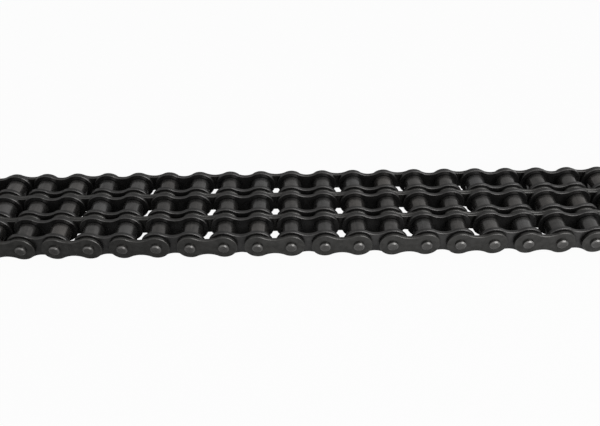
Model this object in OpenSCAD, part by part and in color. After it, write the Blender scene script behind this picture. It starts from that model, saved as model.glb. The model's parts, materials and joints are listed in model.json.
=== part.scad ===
// Triplex roller chain of 5/8 inch pitch, laid out straight along X with its pins along Y.
// It stands on the lower edges of its roller links' plates, at Z = 0.

/* [Chain] */
// Distance from one pin to the next
pitch = 15.875; // [15.2:0.005:20]
// Number of roller links, with one at each end of the chain
roller_links = 11; // [2:1:12]
// Number of strands side by side
strands = 3; // [1:1:4]

/* [Roller link plates] */
// Clear width between a strand's two plates
inner_width = 9.65; // [6:0.05:14]
// Height of the plate over its round ends
inner_height = 14.8; // [12.5:0.05:15]
// Height of the plate at its waist
inner_waist = 10.5; // [8.5:0.05:12]
// Thickness of the plate
inner_thick = 1.8; // [1:0.05:3]

/* [Pin link plates] */
// Height of an outer or middle plate over its round ends
outer_height = 12.65; // [11.5:0.05:15]
// Height of that plate at its waist
outer_waist = 8.7; // [7:0.05:11]
// Thickness of an outer plate
outer_thick = 1.8; // [1:0.05:3]
// Thickness of each of the two middle plates between neighbouring strands
middle_thick = 1.4; // [1:0.05:3]
// Bevel along the edges of every plate
plate_bevel = 0.25; // [0.1:0.05:0.4]

/* [Pins] */
// Diameter of a pin
pin_d = 5.08; // [3:0.01:6]
// Length of a pin's end that stands out of the outer plate
pin_proud = 1.35; // [0.6:0.05:2]
// Width of the cone round a pin's end
pin_cone = 0.7; // [0.3:0.05:1]
// Height of that cone
pin_cone_height = 0.5; // [0.2:0.05:0.55]
// Diameter of the centre mark in a pin's end
mark_d = 1; // [0.5:0.1:1.5]
// Depth of that mark
mark_depth = 0.15; // [0.1:0.05:0.6]

/* [Bushes and rollers] */
// Wall of a bush
bush_wall = 0.95; // [0.6:0.05:1.2]
// Outer diameter of a roller
roller_d = 10.16; // [9.5:0.01:12]
// Bevel at both ends of a roller
roller_bevel = 0.35; // [0.1:0.05:0.6]

/* [Clearances] */
// Play all round between a pin and its bush
pin_play = 0.03; // [0.02:0.01:0.1]
// Play all round between a bush and its roller
roller_play = 0.06; // [0.02:0.01:0.15]
// Gap from each end of a roller to the plate beside it
roller_gap = 0.1; // [0.05:0.05:0.4]
// Gap between a roller link's plate and the pin link's plate beside it
plate_gap = 0.2; // [0.05:0.05:0.4]
// Seam between the two middle plates of neighbouring strands
middle_seam = 0.14; // [0.1:0.02:0.6]
// Seam between a bush and the plate that holds it
bush_seam = 0.01; // [0.005:0.005:0.05]

/* [Hidden] */
$fn = 72;
// How far a waist's curve cuts into the round ends, so that the curves cross and don't just touch
crossing = 0.02;
// Extra depth of a cutter past the face that it cuts
past = 1;

bush_bore = pin_d + 2 * pin_play;
bush_d = bush_bore + 2 * bush_wall;
roller_bore = bush_d + 2 * roller_play;
roller_length = inner_width - 2 * roller_gap;
pin_height = inner_height / 2;

// Distances from the middle of a strand, along the pins
inner_face = inner_width / 2 + inner_thick;
outer_face = inner_face + plate_gap;
strand_pitch = 2 * (outer_face + middle_thick) + middle_seam;
strand_places = [for (s = [0 : strands - 1]) (s - (strands - 1) / 2) * strand_pitch];
seam_places = [for (s = [1 : 1 : strands - 1]) (s - strands / 2) * strand_pitch];
edge_strand = strand_places[strands - 1];
pin_half = edge_strand + outer_face + outer_thick + pin_proud;

// Names and places of the links and rows, counted from the left end
function numbered(name, i) = str(name, i < 10 ? "_0" : "_", i);
function roller_link_x(i) = (2 * i - roller_links - 1) * pitch;
function pin_link_x(i) = (2 * i - roller_links) * pitch;
function roller_row_x(i) = (i - roller_links - 0.5) * pitch;

// Places its children at a distance along the chain and along the pins, with Z turned along the pins
module on_pin_line(x, y = 0) {
    translate([x, y, pin_height])
        rotate([90, 0, 0])
            children();
}

// A round with bevelled rims, centred on the origin
module bevelled_round(r, length, bevel) {
    rotate_extrude()
        polygon([
            [0, -length / 2],
            [r - bevel, -length / 2],
            [r, -length / 2 + bevel],
            [r, length / 2 - bevel],
            [r - bevel, length / 2],
            [0, length / 2]
        ]);
}

// A cutter that leaves a round hollow of radius r with bevelled rims
module flared_cutter(r, length, bevel) {
    rotate_extrude()
        polygon([
            [0, -length / 2 - past],
            [r + bevel + past, -length / 2 - past],
            [r, -length / 2 + bevel],
            [r, length / 2 - bevel],
            [r + bevel + past, length / 2 + past],
            [0, length / 2 + past]
        ]);
}

// A waisted link plate with two holes a pitch apart, lying flat and centred on the origin
module link_plate(height, waist, thick, hole_d) {
    end_r = height / 2;
    reach = end_r - crossing;
    half_waist = waist / 2;
    half_pitch = pitch / 2;
    waist_r = (half_pitch ^ 2 + half_waist ^ 2 - reach ^ 2) / (2 * (reach - half_waist));
    waist_y = half_waist + waist_r;
    // The web's edges pass through the middle of the narrow lens where the curves cross
    web_half = (end_r - crossing / 2) * waist_y / (reach + waist_r);
    difference() {
        union() {
            cube([pitch, 2 * web_half, thick], center = true);
            for (side = [-1, 1])
                translate([side * half_pitch, 0, 0])
                    bevelled_round(end_r, thick, plate_bevel);
        }
        for (side = [-1, 1]) {
            translate([0, side * waist_y, 0])
                flared_cutter(waist_r, thick, plate_bevel);
            translate([side * half_pitch, 0, 0])
                cylinder(d = hole_d, h = thick + 2 * past, center = true);
        }
    }
}

module bush() {
    difference() {
        cylinder(d = bush_d, h = 2 * inner_face, center = true);
        cylinder(d = bush_bore, h = 2 * inner_face + 2 * past, center = true);
    }
}

module roller() {
    difference() {
        bevelled_round(roller_d / 2, roller_length, roller_bevel);
        cylinder(d = roller_bore, h = roller_length + 2 * past, center = true);
    }
}

// A riveted pin: coned ends, each with a centre mark
module pin() {
    r = pin_d / 2;
    rotate_extrude()
        polygon([
            [0, -pin_half + mark_depth],
            [mark_d / 2, -pin_half],
            [r - pin_cone, -pin_half],
            [r, -pin_half + pin_cone_height],
            [r, pin_half - pin_cone_height],
            [r - pin_cone, pin_half],
            [mark_d / 2, pin_half],
            [0, pin_half - mark_depth]
        ]);
}

// Two plates for each strand, and the two bushes that hold them apart
module roller_link(i) {
    plate_y = (inner_width + inner_thick) / 2;
    color("#4a4846")
        for (y = strand_places) {
            for (side = [-1, 1]) {
                on_pin_line(roller_link_x(i), y + side * plate_y)
                    link_plate(inner_height, inner_waist, inner_thick, bush_d + 2 * bush_seam);
                on_pin_line(roller_link_x(i) + side * pitch / 2, y)
                    bush();
            }
        }
}

// The rollers of all strands on one pin's line
module roller_row(i) {
    color("#575452")
        for (y = strand_places)
            on_pin_line(roller_row_x(i), y)
                roller();
}

// The two outer plates, and a pair of middle plates in each seam between strands
module pin_link_plates(i) {
    outer_y = edge_strand + outer_face + outer_thick / 2;
    middle_y = (middle_seam + middle_thick) / 2;
    color("#454341")
        for (side = [-1, 1]) {
            on_pin_line(pin_link_x(i), side * outer_y)
                link_plate(outer_height, outer_waist, outer_thick, pin_d);
            for (y = seam_places)
                on_pin_line(pin_link_x(i), y + side * middle_y)
                    link_plate(outer_height, outer_waist, middle_thick, pin_d);
        }
}

module pin_link_pins(i) {
    color("#5e5c5a")
        for (side = [-1, 1])
            on_pin_line(pin_link_x(i) + side * pitch / 2)
                pin();
}

for (i = [1 : roller_links])
    roller_link(i);
for (i = [1 : 2 * roller_links])
    roller_row(i);
for (i = [1 : roller_links - 1])
    pin_link_plates(i);
for (i = [1 : roller_links - 1])
    pin_link_pins(i);
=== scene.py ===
import json
import math
import bpy
from mathutils import Matrix, Vector


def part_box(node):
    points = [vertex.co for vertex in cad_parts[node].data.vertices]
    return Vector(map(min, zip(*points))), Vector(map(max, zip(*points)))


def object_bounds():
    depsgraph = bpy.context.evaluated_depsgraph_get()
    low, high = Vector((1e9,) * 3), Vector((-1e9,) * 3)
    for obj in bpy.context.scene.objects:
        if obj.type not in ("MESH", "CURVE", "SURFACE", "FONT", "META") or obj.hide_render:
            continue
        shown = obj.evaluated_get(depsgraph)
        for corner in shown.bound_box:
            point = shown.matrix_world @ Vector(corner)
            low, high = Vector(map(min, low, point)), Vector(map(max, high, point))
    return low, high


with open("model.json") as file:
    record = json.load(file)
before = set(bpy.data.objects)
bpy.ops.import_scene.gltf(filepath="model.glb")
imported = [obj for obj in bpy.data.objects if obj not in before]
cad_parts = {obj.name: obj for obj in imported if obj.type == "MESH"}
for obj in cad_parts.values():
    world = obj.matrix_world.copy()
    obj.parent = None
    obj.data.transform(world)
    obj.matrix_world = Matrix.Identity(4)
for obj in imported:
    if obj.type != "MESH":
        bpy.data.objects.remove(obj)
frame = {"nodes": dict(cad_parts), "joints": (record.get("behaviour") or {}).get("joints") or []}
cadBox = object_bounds()
scene = bpy.context.scene
scene.view_settings.view_transform = "Standard"

# Sizes of the chain, in metres. Whatever the frame can give is taken from it
mm = 0.001
pinLines = sorted(j["pos_m"][0] for j in frame["joints"] if j["name"].startswith("hinge_pin"))
pitch = pinLines[1] - pinLines[0]
pinHeight = frame["joints"][0]["pos_m"][2]
strandPitch = 16.59 * mm
imageWidth = 600  # pixels, the photograph's frame

# Camera, found from the pin ends and the outline of the chain
cameraSet = {
    "place": (-0.00345, -0.24761, 0.22363),  # metres
    "turn": -0.06,                           # degrees to the right
    "tilt": -41.28,                          # degrees up
    "roll": -0.80,                           # degrees
    "focal": 660.5,                          # pixels of the photograph's frame
    "sensor": 36,                            # millimetres
    "clip": (0.01, 20),                      # metres
}


def makeCamera(s):
    turn, tilt, roll = (math.radians(s[key]) for key in ("turn", "tilt", "roll"))
    up = Vector((0, 0, 1))
    ahead = Vector((math.sin(turn), math.cos(turn), 0))
    side = Vector((math.cos(turn), -math.sin(turn), 0))
    look = math.cos(tilt) * ahead + math.sin(tilt) * up
    top = math.cos(tilt) * up - math.sin(tilt) * ahead
    right = math.cos(roll) * side + math.sin(roll) * top
    top = math.cos(roll) * top - math.sin(roll) * side
    data = bpy.data.cameras.new("camera")
    data.sensor_width = s["sensor"]
    data.lens = s["focal"] / imageWidth * s["sensor"]
    data.clip_start, data.clip_end = s["clip"]
    camera = bpy.data.objects.new("camera", data)
    turned = Matrix((right, top, -look)).transposed().to_4x4()
    camera.matrix_world = Matrix.Translation(s["place"]) @ turned
    scene.collection.objects.link(camera)
    scene.camera = camera


makeCamera(cameraSet)
print("camera placed")


class Wire:  # a shader value that takes part in sums
    def __init__(self, sheet, socket):
        self.sheet, self.socket = sheet, socket

    def maths(self, operation, *values):
        return self.sheet.node("ShaderNodeMath", {"operation": operation}, dict(enumerate(values)))

    def other(self, name):  # another output of the same node
        return Wire(self.sheet, self.socket.node.outputs[name])

    def __add__(self, value):
        return self.maths("ADD", self, value)

    def __radd__(self, value):
        return self.maths("ADD", value, self)

    def __sub__(self, value):
        return self.maths("SUBTRACT", self, value)

    def __rsub__(self, value):
        return self.maths("SUBTRACT", value, self)

    def __mul__(self, value):
        return self.maths("MULTIPLY", self, value)

    def __rmul__(self, value):
        return self.maths("MULTIPLY", value, self)

    def __truediv__(self, value):
        return self.maths("DIVIDE", self, value)

    def __rtruediv__(self, value):
        return self.maths("DIVIDE", value, self)

    def __abs__(self):
        return self.maths("ABSOLUTE", self)

    def __lt__(self, value):
        return self.maths("LESS_THAN", self, value)

    def __or__(self, value):  # the greater of two
        return self.maths("MAXIMUM", self, value)

    def root(self):
        return self.maths("SQRT", self)

    def floor(self):
        return self.maths("FLOOR", self)

    def wrap(self, half):  # the same value moved by whole steps into -half ... half
        return self.maths("WRAP", self, half, -half)

    def ramp(self, low, high):  # 0 at low, 1 at high, smooth between
        return self.sheet.node("ShaderNodeMapRange", {"interpolation_type": "SMOOTHSTEP"},
                               {"Value": self, "From Min": low, "From Max": high})


class Sheet:  # the nodes of one material, or of the world
    def __init__(self, owner):
        owner.use_nodes = True
        self.owner, self.tree = owner, owner.node_tree
        self.tree.nodes.clear()

    def node(self, kind, settings=None, sockets=None, out=0):
        made = self.tree.nodes.new(kind)
        for key, value in (settings or {}).items():
            setattr(made, key, value)
        for key, value in (sockets or {}).items():
            if isinstance(value, Wire):
                self.tree.links.new(value.socket, made.inputs[key])
            else:
                made.inputs[key].default_value = value
        return Wire(self, made.outputs[out]) if made.outputs else None

    def place(self):  # the point's place in the frame, whichever way its body is turned
        return self.node("ShaderNodeTexCoord", out="Object")

    def parts(self, vector):
        x = self.node("ShaderNodeSeparateXYZ", None, {0: vector})
        return x, x.other("Y"), x.other("Z")

    def stretch(self, vector, amounts):
        return self.node("ShaderNodeVectorMath", {"operation": "MULTIPLY"}, {0: vector, 1: amounts})

    def noise(self, vector, scale, detail):
        return self.node("ShaderNodeTexNoise", None, {"Vector": vector, "Scale": scale, "Detail": detail})

    def patches(self, vector, scale, detail):  # the same, with more of it plainly dark or light
        return self.noise(vector, scale, detail).ramp(0.3, 0.7)

    def lines(self, value, scale, detail):
        return self.node("ShaderNodeTexNoise", {"noise_dimensions": "1D"},
                         {"W": value, "Scale": scale, "Detail": detail})

    def chance(self, *cell):  # a random number for each set of whole numbers
        cell = self.node("ShaderNodeCombineXYZ", None, dict(enumerate(cell)))
        return self.node("ShaderNodeTexWhiteNoise", {"noise_dimensions": "3D"}, {"Vector": cell})

    def mix(self, share, first, second):
        return self.node("ShaderNodeMix", {"data_type": "RGBA"}, {0: share, 6: first, 7: second}, out=2)


def rgb(red, green, blue):
    return red, green, blue, 1


# Studio
floorSet = {
    "half": 4,                          # metres
    "below": 0.02 * mm,                 # under the lowest plate
    "colour": rgb(0.60, 0.60, 0.60),
    "white": 0.96,                      # share of plain white where the floor is seen straight on
    "mirrored": 1,                      # the same where steel shows it, less a painted shadow round the chain and a painted fade along it
    "paintedShadowReach": 45 * mm,                  # how far round the chain the painted shadow on the floor reaches
    "samples": 8,                       # rays that look for the chain, to size that painted shadow
    "fade": (-120 * mm, 50 * mm),       # painted light along the chain: from no such white at the left end to all of it at the right
}
worldSet = {
    "colour": rgb(1, 1, 1),
    "light": 0.46,                      # strength, and what steel sees of it at the rear left
    "towards": (0.6, -0.6, 0),          # the bright side of what steel sees
    "fade": (-0.9, 0.5),                # along that, from the light's strength to white
}
keySet = {
    "place": (0.42, -0.62, 0.40),       # metres
    "aim": (0.02, 0, 0),
    "size": (0.6, 0.5),
    "watts": 4.2,
}


def seenRays(sheet):  # rays from the camera, and rays from steel or glass
    ray = sheet.node("ShaderNodeLightPath", out="Is Camera Ray")
    return ray, ray.other("Is Glossy Ray") | ray.other("Is Transmission Ray")


def makeFloor(s):
    half = s["half"]
    corners = [(-half, -half, 0), (half, -half, 0), (half, half, 0), (-half, half, 0)]
    data = bpy.data.meshes.new("studioFloor")
    data.from_pydata(corners, [], [(0, 1, 2, 3)])
    floor = bpy.data.objects.new("studioFloor", data)
    floor.location.z = cadBox[0].z - s["below"]
    scene.collection.objects.link(floor)
    sheet = Sheet(bpy.data.materials.new("studioFloor"))
    matt = sheet.node("ShaderNodeBsdfDiffuse", None, {"Color": s["colour"]})
    white = sheet.node("ShaderNodeEmission")
    straight, mirrored = seenRays(sheet)
    # Painted shadow: what steel sees of the floor's white is darkened where the chain is near, as if the
    # chain shaded it
    clear = sheet.node("ShaderNodeAmbientOcclusion", {"samples": s["samples"]},
                       {"Distance": s["paintedShadowReach"]}, out="AO")
    # Painted light: that white fades away towards the left end of the chain, as if lit more from the right
    lit = sheet.parts(sheet.place())[0].ramp(*s["fade"])
    share = straight * s["white"] + mirrored * clear * clear * lit * s["mirrored"]
    both = sheet.node("ShaderNodeMixShader", None, {0: share, 1: matt, 2: white})
    sheet.node("ShaderNodeOutputMaterial", None, {"Surface": both})
    data.materials.append(sheet.owner)


def makeWorld(s):
    scene.world = bpy.data.worlds.new("studio")
    sheet = Sheet(scene.world)
    straight, mirrored = seenRays(sheet)
    ahead = sheet.node("ShaderNodeTexCoord", out="Generated")
    bright = sheet.node("ShaderNodeVectorMath", {"operation": "DOT_PRODUCT"},
                        {0: ahead, 1: s["towards"]}, out="Value")
    share = straight | mirrored * bright.ramp(*s["fade"])
    dim, white = (sheet.node("ShaderNodeBackground", None, {"Color": s["colour"], "Strength": strength})
                  for strength in (s["light"], 1))
    sky = sheet.node("ShaderNodeMixShader", None, {0: share, 1: dim, 2: white})
    sheet.node("ShaderNodeOutputWorld", None, {"Surface": sky})


def makeLamp(name, s):
    data = bpy.data.lights.new(name, "AREA")
    data.shape = "RECTANGLE"
    data.size, data.size_y = s["size"]
    data.energy = s["watts"]
    lamp = bpy.data.objects.new(name, data)
    lamp.location = s["place"]
    lamp.rotation_euler = (Vector(s["aim"]) - lamp.location).to_track_quat("-Z", "Y").to_euler()
    scene.collection.objects.link(lamp)


makeFloor(floorSet)
makeWorld(worldSet)
makeLamp("key", keySet)
print("studio lit")


# Steel. Every finish ends here: tone runs from the dark to the light colour, rubbed is bare and brighter,
# oil is the film that lies on it, and height is the fine relief
def finishSteel(sheet, s, tone, rubbed, oil, height):
    shade = 1 + (sheet.node("ShaderNodeObjectInfo", out="Random") - 0.5) * s["spread"]
    colour = sheet.mix(rubbed, sheet.mix(tone * shade, s["dark"], s["light"]), s["rubbed"])
    relief = sheet.node("ShaderNodeBump", None, {"Strength": 1, "Distance": s["relief"], "Height": height})
    steel = sheet.node("ShaderNodeBsdfPrincipled", None, {
        "Base Color": colour,
        "Roughness": s["rough"] + (tone - 0.5) * s["roughSpread"] + rubbed * s["rubbedRough"],
        "Metallic": s["metal"],
        "Coat Weight": oil * s["oil"],
        "Coat Roughness": s["oilRough"],
        "Normal": relief,
    })
    sheet.node("ShaderNodeOutputMaterial", None, {"Surface": steel})
    return sheet.owner


innerPlateSet = {
    "node": "roller_link_06",               # a link that shows the plates' place and height
    "waist": 10.5 * mm,
    "bush": 3.52 * mm,                      # radius
    "dark": rgb(0.028, 0.0275, 0.0275),
    "light": rgb(0.060, 0.0585, 0.0575),
    "rubbed": rgb(0.088, 0.0855, 0.083),
    "spread": 0.5,                          # of tone from link to link
    "rough": 0.30,
    "roughSpread": 0.12,                    # from dark to light
    "rubbedRough": 0.20,                    # added where it is rubbed
    "metal": 0.8,
    "oil": 0.10,
    "oilRough": 0.28,
    "relief": 0.012 * mm,
    "tone": 0.25,
    "patchScale": 320, "patchTone": 0.5,    # scales are per metre
    "grainScale": 2600, "grainStretch": (1, 0.12, 1), "grainTone": 0.8,
    "streakScales": (110, 700, 2400), "streakRange": (0.60, 0.74), "streakRub": 0.16,
    "rubScale": 900, "rubRange": (0.35, 0.65), "rubLeast": 0.35,
    "rubWidth": 0.7 * mm, "edgeRub": 0.55, "bushRub": 0.5,
    "ringStart": 2.6 * mm, "ringWidth": 1.6 * mm, "ringDark": 0.45,
    # rims are lighter partly as bare sheared steel and partly as painted light
    "rimRange": (0.15, 0.5), "rimShearAndPaintedLight": 0.18,
    "oilLeast": 0.4, "patchRelief": 0.5,
}
outerPlateSet = {
    **innerPlateSet,
    "node": "pin_link_plates_05",
    "waist": 8.7 * mm,
    "bush": 0,
    "dark": rgb(0.029, 0.0284, 0.0270),
    "light": rgb(0.061, 0.0598, 0.0570),
}


def plateSteel(name, s):
    sheet = Sheet(bpy.data.materials.new(name))
    low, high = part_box(s["node"])
    middle = (low + high) / 2
    endR, halfWaist, halfPitch = (high.z - low.z) / 2, s["waist"] / 2, pitch / 2
    waistR = (halfPitch ** 2 + halfWaist ** 2 - endR ** 2) / (2 * (endR - halfWaist))
    waistZ = halfWaist + waistR
    place = sheet.place()
    x, _, z = sheet.parts(place)
    along = abs((x - middle.x).wrap(pitch))
    up = abs(z - middle.z)
    pinSide = along - halfPitch
    waistSide = up - waistZ
    toPin = (pinSide * pinSide + up * up).root()
    toWaist = (along * along + waistSide * waistSide).root()
    inWaist = along / halfPitch + up / waistZ < 1
    inside = inWaist * (toWaist - waistR) + (1 - inWaist) * (endR - toPin)  # distance in from the edge
    # Patches of darker scale, fine grain, and faint streaks along the strip that the plate was cut from
    patches = sheet.patches(place, s["patchScale"], 3)
    grain = sheet.noise(sheet.stretch(place, s["grainStretch"]), s["grainScale"], 3)
    streaks = sheet.noise(sheet.stretch(place, s["streakScales"]), 1, 2).ramp(*s["streakRange"])
    # The sheared rim is lighter than the faces, partly as bare sheared steel and partly as painted light,
    # as if every rim caught the lamp; the bevel beside it is rubbed
    flat = abs(sheet.parts(sheet.node("ShaderNodeTexCoord", out="Normal"))[1])
    rim = 1 - flat.ramp(*s["rimRange"])
    edge = (1 - inside.ramp(0, s["rubWidth"])) * (1 - rim)
    uneven = sheet.noise(place, s["rubScale"], 2).ramp(*s["rubRange"])
    edge = edge * (s["rubLeast"] + (1 - s["rubLeast"]) * uneven)
    # Oil darkens a ring round each pin or bush
    ringStart = s["bush"] + s["ringStart"]
    ring = 1 - toPin.ramp(ringStart, ringStart + s["ringWidth"])
    tone = s["tone"] + s["patchTone"] * patches + s["grainTone"] * (grain - 0.5)
    # the rim adds its sheared steel's lighter tone and painted light
    tone = tone * (1 - s["ringDark"] * ring) + s["rimShearAndPaintedLight"] * rim
    rubbed = edge * s["edgeRub"] | streaks * s["streakRub"]
    if s["bush"]:
        rubbed = rubbed | (toPin < s["bush"]) * s["bushRub"]
    oil = s["oilLeast"] + (1 - s["oilLeast"]) * patches | ring
    return finishSteel(sheet, s, tone, rubbed, oil, grain + s["patchRelief"] * patches)


rollerSet = {
    "length": 9.45 * mm,
    "dark": rgb(0.068, 0.0665, 0.065),
    "light": rgb(0.115, 0.1145, 0.1145),    # from this on some rollers
    "warm": rgb(0.123, 0.1145, 0.107),      # to this on others
    "rubbed": rgb(0.135, 0.132, 0.129),
    "spread": 0.5,                          # of tone from row to row
    "ownSpread": 0.8,                       # and from roller to roller
    "rough": 0.24,
    "roughSpread": 0.08,
    "rubbedRough": -0.05,
    "metal": 0.8,
    "oil": 0.10,
    "oilRough": 0.28,
    "relief": 0.008 * mm,
    "tone": 0.1,
    "patchScale": 420, "patchTone": 0.35,
    "turnScale": 3200, "turnRange": (0.3, 0.7), "turnTone": 0.3,
    "turnRubRange": (0.62, 0.8), "turnRub": 0.3,
    "streakScale": 1500, "streakStretch": (1, 0.06, 1), "streakTone": 0.4,
    "endWidth": 2.5 * mm, "endDark": 0.2,
    "rim": (0.1 * mm, 0.7 * mm), "rimRub": 0.45,
}


def rollerSteel(name, s):
    sheet = Sheet(bpy.data.materials.new(name))
    place = sheet.place()
    x, y, _ = sheet.parts(place)
    turned = sheet.lines(y, s["turnScale"], 3)  # lines left by turning, round the roller
    patches = sheet.patches(place, s["patchScale"], 3)
    streaks = sheet.patches(sheet.stretch(place, s["streakStretch"]), s["streakScale"], 2)  # along it
    own = sheet.chance((x / pitch).floor(), (y / strandPitch + 0.5).floor())  # for each roller
    light = sheet.mix(sheet.parts(own.other("Color"))[1], s["light"], s["warm"])
    toEnd = s["length"] / 2 - abs(y.wrap(strandPitch / 2))
    rim = 1 - toEnd.ramp(*s["rim"])
    tone = s["tone"] + s["patchTone"] * patches + s["turnTone"] * turned.ramp(*s["turnRange"])
    tone = tone + s["streakTone"] * streaks - s["endDark"] * (1 - toEnd.ramp(0, s["endWidth"]))
    tone = tone + (own - 0.5) * s["ownSpread"]
    rubbed = rim * s["rimRub"] | turned.ramp(*s["turnRubRange"]) * s["turnRub"]
    return finishSteel(sheet, {**s, "light": light}, tone, rubbed, patches, turned)


pinSet = {
    "flat": 1.84 * mm,                      # radius of the flat end inside the struck cone
    "mark": 0.5 * mm,                       # radius of the centre mark
    "dark": rgb(0.060, 0.059, 0.057),
    "light": rgb(0.102, 0.099, 0.0955),
    "rubbed": rgb(0.165, 0.162, 0.157),
    "spread": 0.4,                          # of tone from pair to pair
    "rough": 0.28,
    "roughSpread": 0.10,
    "rubbedRough": 0.05,
    "metal": 0.8,
    "oil": 0.1,
    "oilRough": 0.25,
    "relief": 0.006 * mm,
    "tone": 0.35,
    "patchScale": 700, "patchTone": 0.4,
    "ringScale": 5200, "ringTone": 0.4,
    "markSoft": 0.1 * mm, "markDark": 0.6,
    "coneSoft": (0.15 * mm, 0.1 * mm), "coneRub": 0.25, "conePatchRub": 0.4,
}


def pinSteel(name, s):
    sheet = Sheet(bpy.data.materials.new(name))
    place = sheet.place()
    x, _, z = sheet.parts(place)
    across = (x - pinLines[0]).wrap(pitch / 2)
    up = z - pinHeight
    fromAxis = (across * across + up * up).root()
    rings = sheet.lines(fromAxis, s["ringScale"], 2)  # turning rings on the ends
    patches = sheet.patches(place, s["patchScale"], 3)
    mark = 1 - fromAxis.ramp(s["mark"] - s["markSoft"], s["mark"] + s["markSoft"])
    inner, outer = s["coneSoft"]
    struck = fromAxis.ramp(s["flat"] - inner, s["flat"] + outer)
    tone = s["tone"] + s["patchTone"] * patches + s["ringTone"] * (rings - 0.5)
    tone = tone * (1 - s["markDark"] * mark)
    rubbed = struck * (s["coneRub"] + s["conePatchRub"] * patches)
    return finishSteel(sheet, s, tone, rubbed, patches, rings + patches)


finishes = {
    "roller_link": plateSteel("innerPlateSteel", innerPlateSet),
    "pin_link_plates": plateSteel("outerPlateSteel", outerPlateSet),
    "roller_row": rollerSteel("rollerSteel", rollerSet),
    "pin_link_pins": pinSteel("pinSteel", pinSet),
}
for name, obj in frame["nodes"].items():
    for slot in obj.material_slots:
        slot.link = "OBJECT"
        slot.material = finishes[name.rsplit("_", 1)[0]]
print("steel on", len(frame["nodes"]), "nodes in", len(finishes), "finishes")
